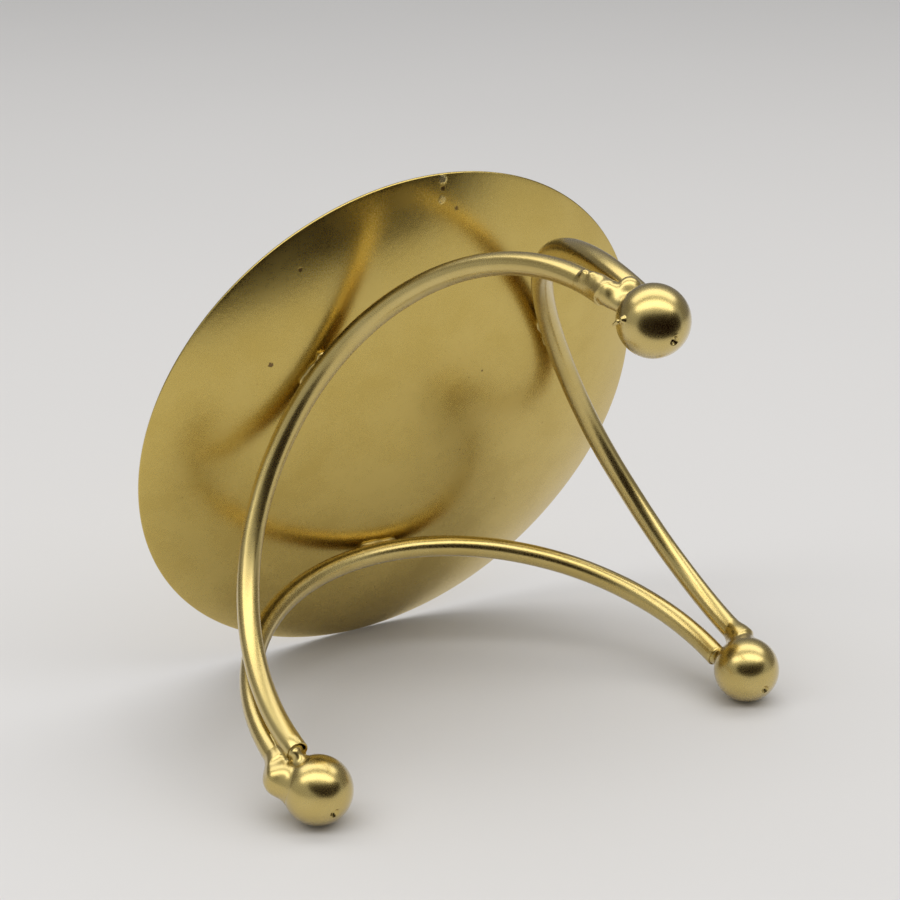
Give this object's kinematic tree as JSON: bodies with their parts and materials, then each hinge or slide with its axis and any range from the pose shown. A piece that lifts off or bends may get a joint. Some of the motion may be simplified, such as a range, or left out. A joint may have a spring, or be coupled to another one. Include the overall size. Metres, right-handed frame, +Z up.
{
  "type": "three-footed dish stand",
  "caption": "Small gold table stand: a shallow pressed dish on bent wire arches with welded ball feet, used to hold a table marker or a candle.",
  "frame": {"origin": "on the dish's axis, in the plane of the table that the ball feet stand on", "axes": "+Z up along the dish's axis, out of the hollow side of the dish; +X towards the foot named a; +Y completes a right-handed frame"},
  "size_m": [0.1109, 0.1086, 0.067],
  "materials": {
    "gold_dish": "satin gold lacquer",
    "gold_wire": "satin gold lacquer",
    "gold_ball": "satin gold lacquer",
    "gold_weld": "satin gold lacquer"
  },
  "bodies": {
    "root": {"dish": "gold_dish", "arch_ab": "gold_wire", "arch_bc": "gold_wire", "arch_ca": "gold_wire", "tack_ab": "gold_weld", "tack_bc": "gold_weld", "tack_ca": "gold_weld", "ball_a": "gold_ball", "ball_b": "gold_ball", "ball_c": "gold_ball", "bead_a_ab": "gold_weld", "bead_a_ca": "gold_weld", "bead_b_ab": "gold_weld", "bead_b_bc": "gold_weld", "bead_c_bc": "gold_weld", "bead_c_ca": "gold_weld"}
  },
  "joints": []
}
